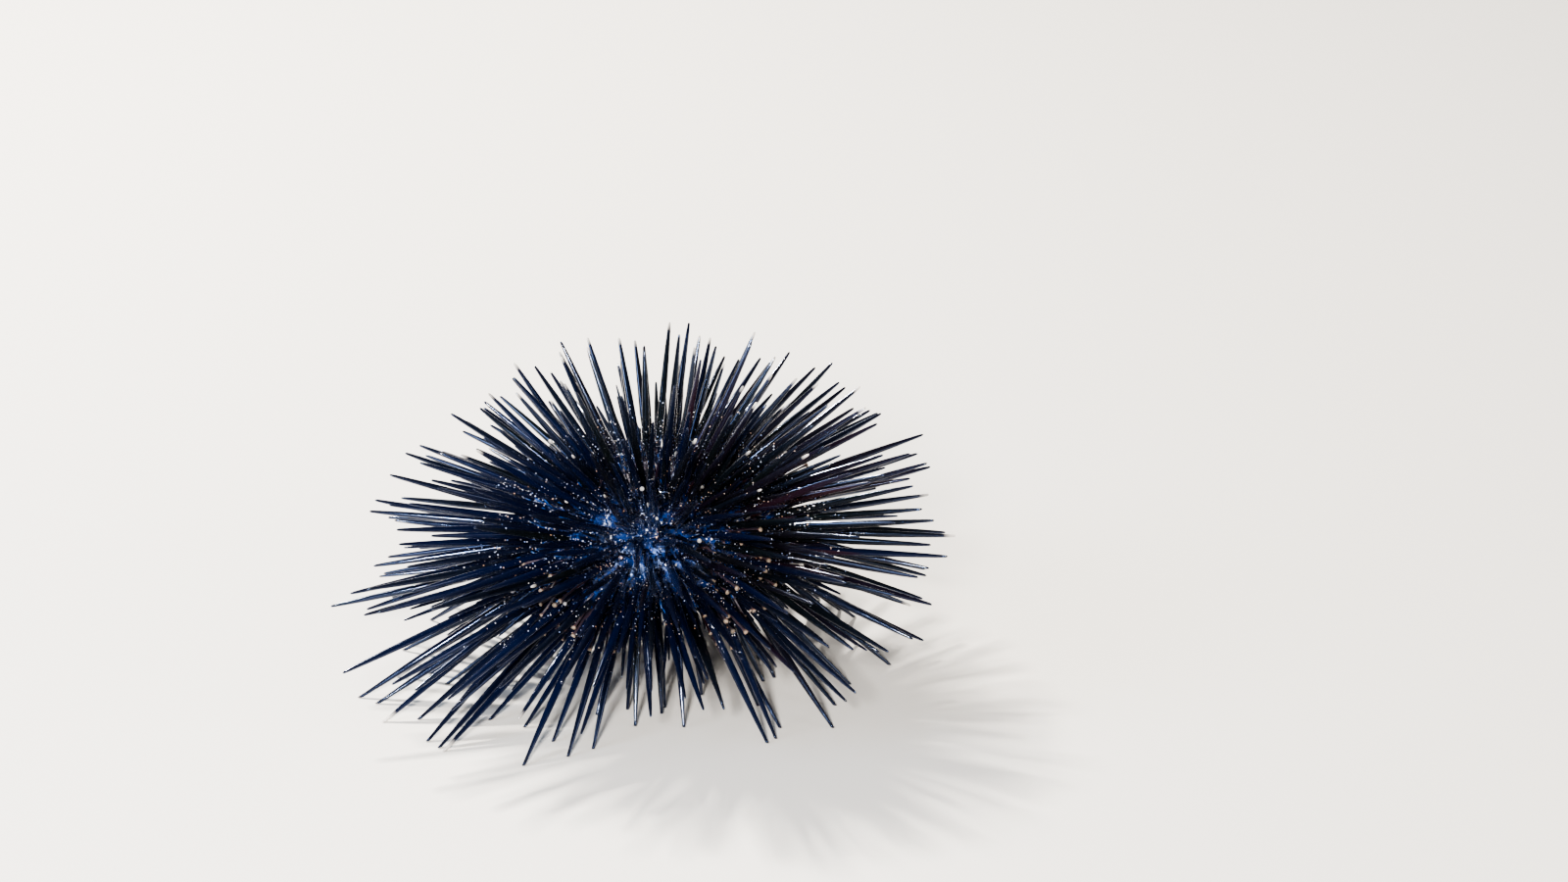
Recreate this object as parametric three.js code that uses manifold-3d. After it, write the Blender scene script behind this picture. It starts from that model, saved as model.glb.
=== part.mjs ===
// A purple sea urchin at life size, standing on its lower spines as on a rock.
// Millimetres, +Z up. Y runs from the side first seen to the far side.
// The body (the test) is a low dome in ten upright slices that meet at the axis:
// five narrow ambulacra and, between them, five wide interambulacra. Each slice
// carries its own spines. A plated disc closes the top, and a soft membrane with
// five teeth closes the flat underside.

import * as THREE from "three";
import { mergeVertices } from "three/addons/utils/BufferGeometryUtils.js";
import Module from "manifold-3d";

const wasm = await Module();
wasm.setup();

const { clamp, degToRad, radToDeg, smoothstep } = THREE.MathUtils;

// Driving sizes of the body
const TEST_RADIUS = 23;
const TEST_RISE = 13.5;
const TEST_DROP = 9.5;
const SHOULDER = 0.85; // power of the cosine in the profile: under 1 fills the shoulders
const CENTRE_HEIGHT = 26; // widest level of the test above the ground
const LEAN = degToRad(6); // the +X side sits higher
const GAP = 0.3; // between solids that touch

const RAYS = 5;
const AMBULACRUM_SPAN = degToRad(28);
const INTER_SPAN = (2 * Math.PI) / RAYS - AMBULACRUM_SPAN;
const FIRST_RAY = Math.PI / 2; // the ray that points away from the first view

const APEX_RADIUS = 5.2;
const APEX_DEPTH = 1.8;
const MOUTH_RADIUS = 9.2;
const MOUTH_DEPTH = 1.7;
const LIP_RADIUS = 3.1;
const PLATE = { radius: 1.5, narrowing: 0.77, height: 0.9, tilt: degToRad(8), place: 0.62 };
const VALVE = { radius: 0.75, height: 0.8, place: 0.62 };
const VALVES = 4;

// Driving sizes of the spines
const SPINE_LENGTH = 32.5; // at the widest level
const SPINE_LENGTH_TOP = 22.2;
const SPINE_LENGTH_UNDER = 20;
const SPINE_RADIUS = 0.68; // at the widest place, just above the neck
const SPINE_SIDES = 4;
const NECK_LENGTH = 4.2; // from the test to the widest place
const TAPER_START = 0.72; // share of the length where the shaft begins to run to its tip
const TAPER_RADIUS = 0.88; // radius there, as a share of the widest
const FOOT_RADIUS = 0.3; // of the worn tips that stand on the ground
const ROOT_DEPTH = 7;
const ROW_PITCH = 2.95;
const COLUMN_PITCH = 3.2;
const EDGE = 1.25; // from a slice's side to the nearest spine
const EDGE_LEAST = 0.35; // from a slice's side to the side of a spine
const MOUTH_MARGIN = 0.4; // from the mouth's edge to the lowest spines
const APEX_MARGIN = 0.3; // from the apical disc to the highest spines
const ACROSS_STRAY = 0.5; // how far a root strays from its column
const ACROSS_STRAY_ALONE = 0.2; // where a row holds one spine only
const ROW_STRAY = 0.03; // how far a root strays from its row, as a profile angle
const LENGTH_SPREAD = 0.11;
const SPINE_CLEARANCE = 0.32;
const GROUND_BAND = 5.5; // a spine that would end lower than this is set on the ground
const STEEPEST_DROP = 0.985; // of a spine that stands, as the sine of its slope
const FAN_DIP = degToRad(14); // the upper spines lie lower than the profile's angle, by this halfway up
const UNDER_FLATNESS = 0.92; // the lower spines fan out a little flatter than the profile
const UNDER_START = 32; // degrees below the widest level where spines begin to shorten
const UNDER_FULL = 68; // and where they are shortest
const SEED = 20241;

// How the spines stray from an even fan: each by chance, and all towards the nearest of
// the axes that they gather round
const WANDER = Math.tan(degToRad(6.5));
const TUFTS = 84;
const TUFT_PULL = 0.15;

// The lower spines reach further on one side and less on another. The change begins at
// one profile angle and is full at the other.
const LOW_START = degToRad(12);
const LOW_FULL = degToRad(-12);
const LONG_SIDE = { azimuth: degToRad(213), width: degToRad(30), gain: 0.25 };
const SHORT_SIDE = { azimuth: degToRad(274), width: degToRad(32), gain: -0.25 };

// Shorter, thinner young spines that fill the wider gaps
const YOUNG_COUNT = 120;
const YOUNG_TRIES = 4000;
const YOUNG_RADIUS = 0.55;
const YOUNG_SHARE = [0.55, 0.85]; // of a grown spine's length

// A repeatable stream of numbers from 0 to 1.
function randomStream(seed) {
  let state = seed >>> 0;
  return () => {
    state = (state + 0x6d2b79f5) >>> 0;
    let t = state;
    t = Math.imul(t ^ (t >>> 15), t | 1);
    t ^= t + Math.imul(t ^ (t >>> 7), t | 61);
    return ((t ^ (t >>> 14)) >>> 0) / 4294967296;
  };
}

// The test's profile. beta runs from -90 degrees at the mouth to 90 at the apex.
const profileRadius = (beta) => TEST_RADIUS * Math.cos(beta) ** SHOULDER;
const profileHeight = (beta) => (beta > 0 ? TEST_RISE : TEST_DROP) * Math.sin(beta);

// The angle at which the profile has a given radius, above or below the widest level.
const betaAtRadius = (radius) => Math.acos((radius / TEST_RADIUS) ** (1 / SHOULDER));

// From the body's own frame to the frame of the part, where the ground is z = 0.
const bodyToPart = new THREE.Matrix4()
  .makeTranslation(0, 0, CENTRE_HEIGHT)
  .multiply(new THREE.Matrix4().makeRotationY(-LEAN));

// Solids and meshes

function solidOf(geometry) {
  const bare = geometry.clone();
  bare.deleteAttribute("normal");
  bare.deleteAttribute("uv");
  const merged = mergeVertices(bare, 1e-4);
  return new wasm.Manifold(
    new wasm.Mesh({
      numProp: 3,
      vertProperties: merged.attributes.position.array,
      triVerts: new Uint32Array(merged.index.array),
    }),
  );
}

function geometryOf(solid) {
  const { numProp, numVert, vertProperties, triVerts } = solid.getMesh();
  const positions = new Float32Array(numVert * 3);
  for (let i = 0; i < numVert; i++) {
    positions.set(vertProperties.subarray(i * numProp, i * numProp + 3), i * 3);
  }
  const geometry = new THREE.BufferGeometry();
  geometry.setAttribute("position", new THREE.BufferAttribute(positions, 3));
  geometry.setIndex(new THREE.BufferAttribute(triVerts, 1));
  geometry.computeVertexNormals();
  return geometry;
}

// The one closed body that matters: fusing can seal a hollow or leave a scrap.
function largestBody(solid) {
  const bodies = solid.decompose();
  return bodies.reduce((most, body) => (body.volume() > most.volume() ? body : most));
}

// A closed skin over rings of points, each ring as long as the others. A ring of
// one point is a tip or a root.
function loft(rings) {
  const positions = rings.flat().flatMap((point) => point.toArray());
  const starts = [];
  let count = 0;
  for (const ring of rings) {
    starts.push(count);
    count += ring.length;
  }
  const faces = [];
  for (let k = 0; k + 1 < rings.length; k++) {
    const [low, high] = [starts[k], starts[k + 1]];
    const sides = Math.max(rings[k].length, rings[k + 1].length);
    for (let i = 0; i < sides; i++) {
      const next = (i + 1) % sides;
      if (rings[k + 1].length === 1) {
        faces.push(low + i, low + next, high);
      } else if (rings[k].length === 1) {
        faces.push(low, high + next, high + i);
      } else {
        faces.push(low + i, low + next, high + next, low + i, high + next, high + i);
      }
    }
  }
  for (let i = 1; i + 1 < rings[0].length; i++) {
    faces.push(starts[0], starts[0] + i + 1, starts[0] + i);
  }
  const last = starts.at(-1);
  for (let i = 1; i + 1 < rings.at(-1).length; i++) {
    faces.push(last, last + i, last + i + 1);
  }
  const geometry = new THREE.BufferGeometry();
  geometry.setAttribute("position", new THREE.Float32BufferAttribute(positions, 3));
  geometry.setIndex(faces);
  return geometry;
}

// The whole test, and the slice of it round one azimuth

function lathe(points, segments) {
  return new THREE.LatheGeometry(points, segments).rotateX(Math.PI / 2);
}

function testSolid() {
  const steps = 12;
  const segments = 40;
  const points = [];
  for (let i = 0; i <= steps; i++) {
    const beta = Math.PI * (i / steps - 0.5);
    const onAxis = i === 0 || i === steps;
    points.push(new THREE.Vector2(onAxis ? 0 : profileRadius(beta), profileHeight(beta)));
  }
  const apexCut = new THREE.CylinderGeometry(
    APEX_RADIUS + GAP, APEX_RADIUS + GAP, 2 * APEX_DEPTH, segments / 2,
  ).rotateX(Math.PI / 2).translate(0, 0, TEST_RISE);
  const mouthCut = new THREE.CylinderGeometry(
    MOUTH_RADIUS + GAP, MOUTH_RADIUS + GAP, 2 * MOUTH_DEPTH, segments / 2,
  ).rotateX(Math.PI / 2).translate(0, 0, -TEST_DROP);
  return solidOf(lathe(points, segments))
    .subtract(solidOf(apexCut))
    .subtract(solidOf(mouthCut));
}

// An upright prism that holds one slice, half the gap inside its two sides.
function sliceSolid(azimuth, span) {
  const reach = 1.5 * TEST_RADIUS;
  const tip = GAP / 2 / Math.sin(span / 2);
  const shape = new THREE.Shape();
  shape.moveTo(tip, 0);
  shape.lineTo(tip + reach * Math.cos(span / 2), -reach * Math.sin(span / 2));
  shape.lineTo(tip + reach * Math.cos(span / 2), reach * Math.sin(span / 2));
  const prism = new THREE.ExtrudeGeometry(shape, { depth: 3 * TEST_RADIUS, bevelEnabled: false });
  return solidOf(prism.translate(0, 0, -1.5 * TEST_RADIUS).rotateZ(azimuth));
}

// Where the spines stand

const LOWEST_ROW = -betaAtRadius(MOUTH_RADIUS + GAP + SPINE_RADIUS + MOUTH_MARGIN);
const HIGHEST_ROW = betaAtRadius(APEX_RADIUS + GAP + SPINE_RADIUS + APEX_MARGIN);

// Rows at even steps along the profile, from the apical disc down to the mouth.
function spineRows() {
  const steps = 400;
  const lengths = [0];
  const at = (i) => HIGHEST_ROW + ((LOWEST_ROW - HIGHEST_ROW) * i) / steps;
  for (let i = 1; i <= steps; i++) {
    const dr = profileRadius(at(i)) - profileRadius(at(i - 1));
    const dz = profileHeight(at(i)) - profileHeight(at(i - 1));
    lengths.push(lengths[i - 1] + Math.hypot(dr, dz));
  }
  const count = Math.round(lengths[steps] / ROW_PITCH);
  const rows = [];
  for (let k = 0; k <= count; k++) {
    const wanted = (lengths[steps] * k) / count;
    rows.push(at(lengths.findIndex((length) => length >= wanted - 1e-9)));
  }
  return rows;
}

// How steeply a spine at profile angle beta stands.
function fanElevation(beta) {
  return beta > 0 ? beta - FAN_DIP * Math.sin(2 * beta) : beta * UNDER_FLATNESS;
}

// One side's share of the change in length: full at its azimuth, and fading to both sides.
function sideGain({ azimuth, width, gain }, at) {
  const turn = 2 * Math.PI;
  const off = ((at - azimuth + 1.5 * turn) % turn) - turn / 2;
  return gain * Math.exp(-((off / width) ** 2));
}

function spineLength(beta, azimuth) {
  const low = clamp((LOW_START - beta) / (LOW_START - LOW_FULL), 0, 1);
  const skirt = 1 + low * (sideGain(LONG_SIDE, azimuth) + sideGain(SHORT_SIDE, azimuth));
  if (beta > 0) {
    return skirt * (SPINE_LENGTH + (SPINE_LENGTH_TOP - SPINE_LENGTH) * Math.sin(beta));
  }
  const below = -radToDeg(beta);
  const under = smoothstep(below, UNDER_START, UNDER_FULL);
  return skirt * (SPINE_LENGTH + (SPINE_LENGTH_UNDER - SPINE_LENGTH) * under);
}

function heading(azimuth, elevation) {
  return new THREE.Vector3(
    Math.cos(azimuth) * Math.cos(elevation),
    Math.sin(azimuth) * Math.cos(elevation),
    Math.sin(elevation),
  );
}

// The axes that spines gather round, evenly spread on a golden spiral.
const tuftAxes = [];
for (let i = 0; i < TUFTS; i++) {
  const rise = 1 - (2 * i + 1) / TUFTS;
  tuftAxes.push(heading(i * Math.PI * (3 - Math.sqrt(5)), Math.asin(rise)));
}

function nearestTuft(fan) {
  return tuftAxes.reduce((best, axis) => (axis.dot(fan) > best.dot(fan) ? axis : best));
}

// One spine, in the part's frame: where it leaves the test, its heading and its length.
// One that would end near the ground is laid out until its tip stands on it.
function drawSpine(beta, azimuth, draw, radius, share) {
  const root = new THREE.Vector3(
    profileRadius(beta) * Math.cos(azimuth),
    profileRadius(beta) * Math.sin(azimuth),
    profileHeight(beta),
  ).applyMatrix4(bodyToPart);
  const wander = new THREE.Vector3(draw() - 0.5, draw() - 0.5, draw() - 0.5);
  const fan = heading(azimuth, fanElevation(beta));
  const direction = fan.clone()
    .lerp(nearestTuft(fan), TUFT_PULL)
    .addScaledVector(wander, 2 * WANDER)
    .normalize()
    .transformDirection(bodyToPart);
  const length = spineLength(beta, azimuth) * share * (1 + LENGTH_SPREAD * (2 * draw() - 1));
  const grounded = root.z + length * direction.z < GROUND_BAND;
  if (grounded) {
    const drop = Math.min(root.z / length, STEEPEST_DROP);
    const level = Math.hypot(direction.x, direction.y);
    const keep = Math.sqrt(1 - drop * drop) / level;
    direction.set(direction.x * keep, direction.y * keep, -drop);
  }
  const reach = grounded ? Math.min(length, -root.z / direction.z) : length;
  const stands = grounded && root.z + reach * direction.z < 1e-6;
  const end = root.clone().addScaledVector(direction, reach);
  return { root, direction, end, stands, radius };
}

// Distance between two spines' centre lines.
function lineDistance(a, b) {
  const u = a.end.clone().sub(a.root);
  const v = b.end.clone().sub(b.root);
  const w = a.root.clone().sub(b.root);
  const [uu, uv, vv, uw, vw] = [u.dot(u), u.dot(v), v.dot(v), u.dot(w), v.dot(w)];
  const share = (x) => clamp(x, 0, 1);
  const denominator = uu * vv - uv * uv;
  let s = denominator > 1e-9 ? share((uv * vw - vv * uw) / denominator) : 0;
  const t = share((uv * s + vw) / vv);
  s = share((uv * t - uw) / uu);
  return w.addScaledVector(u, s).addScaledVector(v, -t).length();
}

function isClear(spine, all) {
  return all.every(
    (other) => lineDistance(spine, other) > spine.radius + other.radius + SPINE_CLEARANCE,
  );
}

// The grown spines of all slices, in rows and columns. A draw that comes too near another
// spine is made again.
function growSpines(slices, draw) {
  const tries = 60;
  const all = [];
  for (const slice of slices) {
    slice.spines = [];
  }
  spineRows().forEach((beta, row) => {
    for (const slice of slices) {
      const half = profileRadius(beta) * (slice.span / 2);
      const room = 2 * (half - EDGE);
      const full = room < 0 ? 1 : 1 + Math.floor(room / COLUMN_PITCH);
      const count = row % 2 && full > 1 ? full - 1 : full;
      if (half < SPINE_RADIUS + EDGE_LEAST) {
        continue;
      }
      const pitch = full > 1 ? room / (full - 1) : 0;
      const stray = full > 1 ? ACROSS_STRAY : ACROSS_STRAY_ALONE;
      for (let i = 0; i < count; i++) {
        const across = (i - (count - 1) / 2) * pitch;
        for (let n = 0; n < tries; n++) {
          const nudge = stray * (draw() - 0.5);
          const azimuth = slice.azimuth + (across + nudge) / profileRadius(beta);
          const at = beta + ROW_STRAY * (draw() - 0.5);
          const spine = drawSpine(at, azimuth, draw, SPINE_RADIUS, 1);
          if (isClear(spine, all)) {
            all.push(spine);
            slice.spines.push(spine);
            break;
          }
        }
      }
    }
  });
  return all;
}

// The young spines, wherever one has room and ends above the ground.
function growYoungSpines(slices, all, draw) {
  const [least, most] = YOUNG_SHARE;
  let grown = 0;
  for (let n = 0; n < YOUNG_TRIES && grown < YOUNG_COUNT; n++) {
    const [bottom, top] = [Math.sin(LOWEST_ROW), Math.sin(HIGHEST_ROW)];
    const beta = Math.asin(bottom + (top - bottom) * draw());
    const slice = slices[Math.floor(slices.length * draw())];
    const half = profileRadius(beta) * (slice.span / 2) - YOUNG_RADIUS - EDGE_LEAST;
    const azimuth = slice.azimuth + (half * 2 * (draw() - 0.5)) / profileRadius(beta);
    const share = least + (most - least) * draw();
    const spine = drawSpine(beta, azimuth, draw, YOUNG_RADIUS, share);
    if (half > 0 && spine.end.z > GROUND_BAND && isClear(spine, all)) {
      all.push(spine);
      slice.spines.push(spine);
      grown++;
    }
  }
}

// A spine: a sunk root point, the widest ring above the neck, the ring where the taper
// starts, and the tip. One that stands has its end cut level with the ground.
function spineGeometry({ root, direction, end, stands, radius: widest }) {
  const side = new THREE.Vector3(-direction.y, direction.x, 0).normalize();
  const up = direction.clone().cross(side);
  const length = root.distanceTo(end);
  const ring = (along, radius) => {
    const points = [];
    for (let i = 0; i < SPINE_SIDES; i++) {
      const turn = (2 * Math.PI * i) / SPINE_SIDES;
      points.push(
        root.clone()
          .addScaledVector(direction, along)
          .addScaledVector(side, radius * Math.cos(turn))
          .addScaledVector(up, radius * Math.sin(turn)),
      );
    }
    return points;
  };
  const rings = [
    [root.clone().addScaledVector(direction, -ROOT_DEPTH)],
    ring(NECK_LENGTH, widest),
    ring(TAPER_START * length, TAPER_RADIUS * widest),
  ];
  if (stands) {
    const foot = ring(length, FOOT_RADIUS);
    foot.forEach((point) => {
      point.addScaledVector(direction, -point.z / direction.z).setZ(0);
    });
    rings.push(foot);
  } else {
    rings.push([end]);
  }
  return loft(rings);
}

// The disc on the top: five large plates, each with a pore, round four small ones.
function apicalDisc() {
  const top = TEST_RISE + 0.1;
  const bottom = TEST_RISE - APEX_DEPTH + GAP;
  const rim = profileHeight(betaAtRadius(APEX_RADIUS)) - 0.2;
  const disc = lathe(
    [
      new THREE.Vector2(0, bottom),
      new THREE.Vector2(APEX_RADIUS, bottom),
      new THREE.Vector2(APEX_RADIUS, rim),
      new THREE.Vector2(APEX_RADIUS * 0.5, top - 0.15),
      new THREE.Vector2(0, top - 0.1),
    ],
    20,
  );
  const pieces = [solidOf(disc)];
  for (let k = 0; k < RAYS; k++) {
    const turn = FIRST_RAY + ((k + 0.5) * 2 * Math.PI) / RAYS;
    const plate = new THREE.CylinderGeometry(
      PLATE.radius * PLATE.narrowing, PLATE.radius, PLATE.height, 6,
    )
      .rotateX(Math.PI / 2)
      .rotateY(PLATE.tilt)
      .translate(APEX_RADIUS * PLATE.place, 0, top - 0.25)
      .rotateZ(turn);
    pieces.push(solidOf(plate));
  }
  for (let k = 0; k < VALVES; k++) {
    const valve = new THREE.ConeGeometry(VALVE.radius, VALVE.height, 5)
      .rotateX(Math.PI / 2)
      .translate(VALVE.place, 0, top + 0.2)
      .rotateZ(((k + 0.25) * 2 * Math.PI) / VALVES);
    pieces.push(solidOf(valve));
  }
  return largestBody(wasm.Manifold.union(pieces));
}

// The soft ring round the teeth, thickest at the lips.
function mouthMembrane() {
  const roof = -TEST_DROP + MOUTH_DEPTH - GAP;
  const points = [
    new THREE.Vector2(LIP_RADIUS, roof),
    new THREE.Vector2(LIP_RADIUS, roof - 1.9),
    new THREE.Vector2(LIP_RADIUS + 0.9, roof - 2.3),
    new THREE.Vector2(LIP_RADIUS + 2.3, roof - 1.5),
    new THREE.Vector2(MOUTH_RADIUS, roof - 1.1),
    new THREE.Vector2(MOUTH_RADIUS, roof),
    new THREE.Vector2(LIP_RADIUS, roof),
  ];
  return solidOf(lathe(points, 24));
}

// One tooth of the ring of five: a curved wedge whose chisel end leans to the axis.
function toothGeometry() {
  const roof = -TEST_DROP + MOUTH_DEPTH - GAP;
  const sections = [
    { z: roof, inner: 0.55, outer: LIP_RADIUS - GAP, half: 0.55 },
    { z: roof - 2.2, inner: 0.5, outer: 2.2, half: 0.5 },
    { z: roof - 3.6, inner: 0.45, outer: 1.45, half: 0.42 },
    { z: roof - 4.7, inner: 0.4, outer: 0.65, half: 0.2 },
  ];
  const spread = Math.tan(Math.PI / RAYS) * 0.8;
  const rings = sections.map(({ z, inner, outer, half }) => [
    new THREE.Vector3(inner, -Math.min(half, inner * spread), z),
    new THREE.Vector3(inner, Math.min(half, inner * spread), z),
    new THREE.Vector3(outer, half, z),
    new THREE.Vector3(outer, -half, z),
  ]);
  return loft(rings);
}

// The parts and their materials

const skin = new THREE.MeshStandardMaterial({ color: 0x15131f, roughness: 0.5, metalness: 0 });
const plateSkin = new THREE.MeshStandardMaterial({ color: 0x231a2c, roughness: 0.55, metalness: 0 });
const membrane = new THREE.MeshStandardMaterial({ color: 0x3a2a35, roughness: 0.6, metalness: 0 });
const enamel = new THREE.MeshStandardMaterial({ color: 0xe8e2d2, roughness: 0.35, metalness: 0 });

const slices = [];
for (let k = 0; k < RAYS; k++) {
  const ray = FIRST_RAY + (k * 2 * Math.PI) / RAYS;
  slices.push({ name: `ambulacrum_${k + 1}`, azimuth: ray, span: AMBULACRUM_SPAN });
  slices.push({ name: `interambulacrum_${k + 1}`, azimuth: ray + Math.PI / RAYS, span: INTER_SPAN });
}
const draw = randomStream(SEED);
growYoungSpines(slices, growSpines(slices, draw), draw);

const urchin = new THREE.Group();
const add = (name, geometry, material) => {
  const mesh = new THREE.Mesh(geometry, material);
  mesh.name = name;
  urchin.add(mesh);
  return mesh;
};

const test = testSolid();
for (const { name, azimuth, span, spines } of slices) {
  const slice = solidOf(geometryOf(test.intersect(sliceSolid(azimuth, span))).applyMatrix4(bodyToPart));
  const grown = spines.map((spine) => solidOf(spineGeometry(spine)));
  add(name, geometryOf(largestBody(wasm.Manifold.union([slice, ...grown]))), skin);
}

add("apical_disc", geometryOf(apicalDisc()).applyMatrix4(bodyToPart), plateSkin);
add("mouth_membrane", geometryOf(mouthMembrane()).applyMatrix4(bodyToPart), membrane);
for (let k = 0; k < RAYS; k++) {
  const turn = FIRST_RAY + ((k + 0.5) * 2 * Math.PI) / RAYS;
  add(`tooth_${k + 1}`, toothGeometry().rotateZ(turn).applyMatrix4(bodyToPart), enamel);
}

// The origin is under the middle of the whole animal, on the ground.
const bounds = new THREE.Box3().setFromObject(urchin);
const middle = bounds.getCenter(new THREE.Vector3());
urchin.position.set(-middle.x, -middle.y, 0);

export default urchin;
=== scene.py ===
"""A life-size purple sea urchin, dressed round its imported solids.

+Z up, ground at z = 0. Sizes of the animal are in millimetres, and make_object turns them into
metres. The camera, lights and floor are in metres. The spines of the solids are drawn again from the
same stream, so each one in the render lies on its solid, and finer spines fill the ground between.
"""

import math

import bpy
import numpy as np
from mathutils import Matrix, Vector
from mathutils.kdtree import KDTree


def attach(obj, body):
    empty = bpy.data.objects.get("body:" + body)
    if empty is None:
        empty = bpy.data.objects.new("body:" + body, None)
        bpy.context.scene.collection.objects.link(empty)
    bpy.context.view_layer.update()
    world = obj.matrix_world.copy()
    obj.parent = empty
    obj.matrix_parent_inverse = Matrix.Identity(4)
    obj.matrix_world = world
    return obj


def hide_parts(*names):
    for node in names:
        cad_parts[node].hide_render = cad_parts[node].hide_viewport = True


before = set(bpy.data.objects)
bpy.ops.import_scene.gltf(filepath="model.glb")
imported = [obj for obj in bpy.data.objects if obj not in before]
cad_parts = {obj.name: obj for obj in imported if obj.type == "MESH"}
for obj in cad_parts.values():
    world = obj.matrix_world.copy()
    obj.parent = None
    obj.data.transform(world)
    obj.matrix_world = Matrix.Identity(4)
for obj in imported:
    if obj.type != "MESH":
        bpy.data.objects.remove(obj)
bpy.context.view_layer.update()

MM = 0.001

# Sizes of the body and the spines, in millimetres and radians, as in the solids
TEST_RADIUS = 23.0
TEST_RISE = 13.5
TEST_DROP = 9.5
SHOULDER = 0.85
CENTRE_HEIGHT = 26.0
LEAN = math.radians(6)
GAP = 0.3
RAYS = 5
AMBULACRUM_SPAN = math.radians(28)
INTER_SPAN = math.tau / RAYS - AMBULACRUM_SPAN
FIRST_RAY = math.pi / 2
APEX_RADIUS = 5.2
MOUTH_RADIUS = 9.2
MOUTH_DEPTH = 1.7
LIP_RADIUS = 3.1
SPINE_LENGTH = 32.5
SPINE_LENGTH_TOP = 22.2
SPINE_LENGTH_UNDER = 20.0
SPINE_RADIUS = 0.68
FOOT_RADIUS = 0.3
ROW_PITCH = 2.95
COLUMN_PITCH = 3.2
EDGE = 1.25
EDGE_LEAST = 0.35
MOUTH_MARGIN = 0.4
APEX_MARGIN = 0.3
ACROSS_STRAY = 0.5
ACROSS_STRAY_ALONE = 0.2
ROW_STRAY = 0.03
LENGTH_SPREAD = 0.11
SPINE_CLEARANCE = 0.32
GROUND_BAND = 5.5
STEEPEST_DROP = 0.985
FAN_DIP = math.radians(14)
UNDER_FLATNESS = 0.92
UNDER_START = 32
UNDER_FULL = 68
SEED = 20241
WANDER = math.tan(math.radians(6.5))
TUFTS = 84
TUFT_PULL = 0.15
LOW_START = math.radians(12)
LOW_FULL = math.radians(-12)
LONG_SIDE = {"azimuth": math.radians(213), "width": math.radians(30), "gain": 0.25}
SHORT_SIDE = {"azimuth": math.radians(274), "width": math.radians(32), "gain": -0.25}
YOUNG_COUNT = 120
YOUNG_TRIES = 4000
YOUNG_RADIUS = 0.55
YOUNG_SHARE = (0.55, 0.85)

# Places down the profile that the rows of spines are chosen from
ROW_STEPS = 400

# How often the solids try to place one grown spine
GROWN_TRIES = 60

# Room for all the spines, short and small things too
MOST_SPINES = 8000

# Spines whose roots lie further apart than this, along the axes added up, can't touch
CLEARANCE_REACH = 60.0

# A tip this near the ground stands on it
ON_GROUND = 1e-6
TINY = 1e-9

# The photograph's frame, and where the animal's outline lies in it, in pixels
PHOTO_WIDTH, PHOTO_HEIGHT = 1600, 900
OUTLINE_LEFT, OUTLINE_RIGHT = 338, 975
OUTLINE_TOP, OUTLINE_BOTTOM = 325, 770
CAMERA_ELEVATION = math.radians(22)
CAMERA_DISTANCE = 0.85
CAMERA_SENSOR = 36
CAMERA_NEAR, CAMERA_FAR = 0.05, 20


# The body's surface

def profile_radius(beta):
    return TEST_RADIUS * np.cos(beta) ** SHOULDER


def profile_height(beta):
    return np.where(np.asarray(beta) > 0, TEST_RISE, TEST_DROP) * np.sin(beta)


def beta_at_radius(radius):
    return math.acos((radius / TEST_RADIUS) ** (1 / SHOULDER))


def round_point(radius, turn, height):
    return np.stack([radius * np.cos(turn), radius * np.sin(turn), height], -1)


def heading(azimuth, elevation):
    return round_point(np.cos(elevation), azimuth, np.sin(elevation))


def body_to_part(points):
    """Points of the body's own frame, leant and lifted off the ground."""
    return lean(points) + np.array([0.0, 0.0, CENTRE_HEIGHT])


def lean(vectors):
    x, y, z = np.moveaxis(np.asarray(vectors, float), -1, 0)
    c, s = math.cos(-LEAN), math.sin(-LEAN)
    return np.stack([c * x + s * z, y, -s * x + c * z], -1)


def unit(vectors):
    return vectors / np.linalg.norm(vectors, axis=-1, keepdims=True)


# Spines that the solids have

def solid_stream(seed):
    """The solids' own repeatable stream of numbers from 0 to 1."""
    mask = 0xFFFFFFFF
    state = seed & mask

    def draw():
        nonlocal state
        state = (state + 0x6D2B79F5) & mask
        t = state
        t = ((t ^ (t >> 15)) * (t | 1)) & mask
        t ^= (t + ((t ^ (t >> 7)) * (t | 61) & mask)) & mask
        return ((t ^ (t >> 14)) & mask) / 4294967296

    return draw


LOWEST_ROW = -beta_at_radius(MOUTH_RADIUS + GAP + SPINE_RADIUS + MOUTH_MARGIN)
HIGHEST_ROW = beta_at_radius(APEX_RADIUS + GAP + SPINE_RADIUS + APEX_MARGIN)


def spine_rows():
    """Profile angles of the rows of spines, at even steps of length down the profile."""
    betas = HIGHEST_ROW + (LOWEST_ROW - HIGHEST_ROW) * np.arange(ROW_STEPS + 1) / ROW_STEPS
    steps = np.hypot(np.diff(profile_radius(betas)), np.diff(profile_height(betas)))
    lengths = np.concatenate([[0], np.cumsum(steps)])
    count = round(lengths[-1] / ROW_PITCH)
    wanted = lengths[-1] * np.arange(count + 1) / count
    return [float(betas[np.argmax(lengths >= w - TINY)]) for w in wanted]


def fan_elevation(beta):
    return beta - FAN_DIP * math.sin(2 * beta) if beta > 0 else beta * UNDER_FLATNESS


def side_gain(side, at):
    """One side's share of the change in length of the lower spines."""
    off = (at - side["azimuth"] + 1.5 * math.tau) % math.tau - math.pi
    return side["gain"] * math.exp(-((off / side["width"]) ** 2))


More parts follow.
